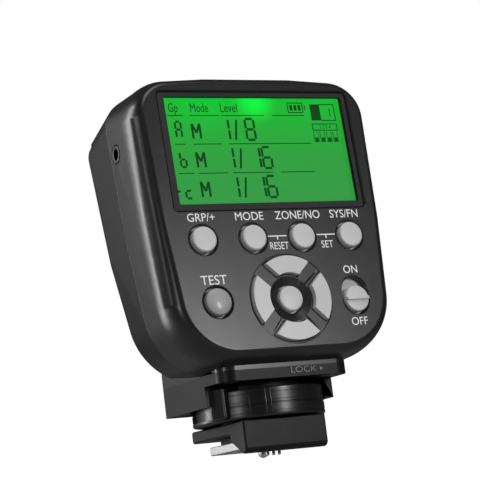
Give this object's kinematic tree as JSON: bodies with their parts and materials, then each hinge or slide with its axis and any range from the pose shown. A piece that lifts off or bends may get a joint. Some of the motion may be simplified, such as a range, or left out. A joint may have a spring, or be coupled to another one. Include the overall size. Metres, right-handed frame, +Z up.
{
  "type": "wireless flash trigger",
  "caption": "Hot-shoe radio flash trigger with a lit display, round keys, a four-way pad, a power slider, a sync jack and a lock ring on its foot.",
  "frame": {"origin": "centre of the shoe plate's lower face", "axes": "+Z up out of the camera's shoe, +Y away from the user, +X to the right as the user sees the display"},
  "size_m": [0.0612, 0.0439, 0.0875],
  "materials": {
    "case_plastic": "satin black moulded plastic",
    "foot_plastic": "fine textured black plastic",
    "ring_plastic": "glossy black plastic",
    "clear_window": "clear acrylic window",
    "black_plastic": "black plastic",
    "display_film": "lit green liquid crystal display",
    "display_glow": "translucent light guide",
    "board": "green solder mask",
    "steel": "plated steel",
    "key_plastic": "light grey moulded plastic",
    "test_plastic": "smoky translucent plastic",
    "lamp_lens": "red lamp",
    "plate_metal": "bright metal plate",
    "brass": "gold plated brass",
    "cell_wrap": "plain printed sleeve",
    "ribbon": "flat ribbon cable"
  },
  "bodies": {
    "case": {"front_shell": "case_plastic", "rear_shell": "case_plastic", "case_screws": "steel", "display_window": "clear_window", "display_frame": "black_plastic", "display_glass": "display_film", "backlight": "display_glow", "display_strip": "black_plastic", "main_board": "board", "controller_chip": "black_plastic", "radio_module": "steel", "antenna": "brass", "tact_switches": "steel", "board_screws": "steel", "test_lamp": "lamp_lens", "power_switch": "black_plastic", "sync_jack": "black_plastic", "jack_ring": "steel", "battery_lower": "cell_wrap", "battery_upper": "cell_wrap", "battery_springs": "steel", "battery_contacts": "steel", "foot_flange": "foot_plastic", "ring_spacer": "black_plastic", "foot_base": "foot_plastic", "flange_screws": "steel", "post_screws": "steel", "shoe_plate": "plate_metal", "plate_screws": "steel", "contact_block": "foot_plastic", "foot_board": "board", "foot_ribbon": "ribbon", "centre_spring": "steel", "data_spring_1": "steel", "data_spring_2": "steel", "data_spring_3": "steel", "data_spring_4": "steel", "lock_pin_spring": "steel"},
    "group_key": {"key_group": "key_plastic"},
    "mode_key": {"key_mode": "key_plastic"},
    "zoom_key": {"key_zoom": "key_plastic"},
    "function_key": {"key_function": "key_plastic"},
    "right_key": {"key_right": "key_plastic"},
    "up_key": {"key_up": "key_plastic"},
    "left_key": {"key_left": "key_plastic"},
    "down_key": {"key_down": "key_plastic"},
    "centre_key": {"key_centre": "key_plastic"},
    "test_key": {"key_test": "test_plastic"},
    "power_knob": {"power_knob": "key_plastic"},
    "battery_door": {"battery_door": "case_plastic"},
    "lock_ring": {"lock_ring": "ring_plastic"},
    "lock_pin": {"lock_pin": "steel"},
    "centre_contact": {"centre_contact": "brass"},
    "data_pin_1": {"data_pin_1": "brass"},
    "data_pin_2": {"data_pin_2": "brass"},
    "data_pin_3": {"data_pin_3": "brass"},
    "data_pin_4": {"data_pin_4": "brass"}
  },
  "joints": [
    {"name": "group_key_press", "type": "slide", "parent": "case", "child": "group_key", "axis": [0, 0.9959, -0.0906], "range_m": [0, 0.00045], "stiffness_N_per_m": 800},
    {"name": "mode_key_press", "type": "slide", "parent": "case", "child": "mode_key", "axis": [0, 0.9959, -0.0906], "range_m": [0, 0.00045], "stiffness_N_per_m": 800},
    {"name": "zoom_key_press", "type": "slide", "parent": "case", "child": "zoom_key", "axis": [0, 0.9959, -0.0906], "range_m": [0, 0.00045], "stiffness_N_per_m": 800},
    {"name": "function_key_press", "type": "slide", "parent": "case", "child": "function_key", "axis": [0, 0.9959, -0.0906], "range_m": [0, 0.00045], "stiffness_N_per_m": 800},
    {"name": "right_key_press", "type": "slide", "parent": "case", "child": "right_key", "axis": [0, 0.9959, -0.0906], "range_m": [0, 0.00045], "stiffness_N_per_m": 800},
    {"name": "up_key_press", "type": "slide", "parent": "case", "child": "up_key", "axis": [0, 0.9959, -0.0906], "range_m": [0, 0.00045], "stiffness_N_per_m": 800},
    {"name": "left_key_press", "type": "slide", "parent": "case", "child": "left_key", "axis": [0, 0.9959, -0.0906], "range_m": [0, 0.00045], "stiffness_N_per_m": 800},
    {"name": "down_key_press", "type": "slide", "parent": "case", "child": "down_key", "axis": [0, 0.9959, -0.0906], "range_m": [0, 0.00045], "stiffness_N_per_m": 800},
    {"name": "centre_key_press", "type": "slide", "parent": "case", "child": "centre_key", "axis": [0, 0.9959, -0.0906], "range_m": [0, 0.00045], "stiffness_N_per_m": 800},
    {"name": "test_key_press", "type": "slide", "parent": "case", "child": "test_key", "axis": [0, 0.9959, -0.0906], "range_m": [0, 0.00045], "stiffness_N_per_m": 800},
    {"name": "power_knob_slide", "type": "slide", "parent": "case", "child": "power_knob", "axis": [0, 0.0906, 0.9959], "range_m": [0, 0.0019]},
    {"name": "battery_door_slide", "type": "slide", "parent": "case", "child": "battery_door", "axis": [-1, 0, 0], "range_m": [0, 0.056]},
    {"name": "lock_ring_turn", "type": "hinge", "parent": "case", "child": "lock_ring", "pos_m": [0, 0, 0.01], "axis": [0, 0, 1], "range_deg": [0, 80]},
    {"name": "lock_pin_drop", "type": "slide", "parent": "case", "child": "lock_pin", "axis": [0, 0, -1], "range_m": [0, 0.00141], "deforming": ["lock_pin_spring"]},
    {"name": "centre_contact_press", "type": "slide", "parent": "case", "child": "centre_contact", "axis": [0, 0, 1], "range_m": [0, 0.001], "stiffness_N_per_m": 200, "deforming": ["centre_spring"]},
    {"name": "data_pin_1_press", "type": "slide", "parent": "case", "child": "data_pin_1", "axis": [0, 0, 1], "range_m": [0, 0.001], "stiffness_N_per_m": 200, "deforming": ["data_spring_1"]},
    {"name": "data_pin_2_press", "type": "slide", "parent": "case", "child": "data_pin_2", "axis": [0, 0, 1], "range_m": [0, 0.001], "stiffness_N_per_m": 200, "deforming": ["data_spring_2"]},
    {"name": "data_pin_3_press", "type": "slide", "parent": "case", "child": "data_pin_3", "axis": [0, 0, 1], "range_m": [0, 0.001], "stiffness_N_per_m": 200, "deforming": ["data_spring_3"]},
    {"name": "data_pin_4_press", "type": "slide", "parent": "case", "child": "data_pin_4", "axis": [0, 0, 1], "range_m": [0, 0.001], "stiffness_N_per_m": 200, "deforming": ["data_spring_4"]}
  ],
  "couplings": [
    {"joint": "lock_pin_drop", "follows": "lock_ring_turn", "m_per_rad": 0.0010027}
  ]
}
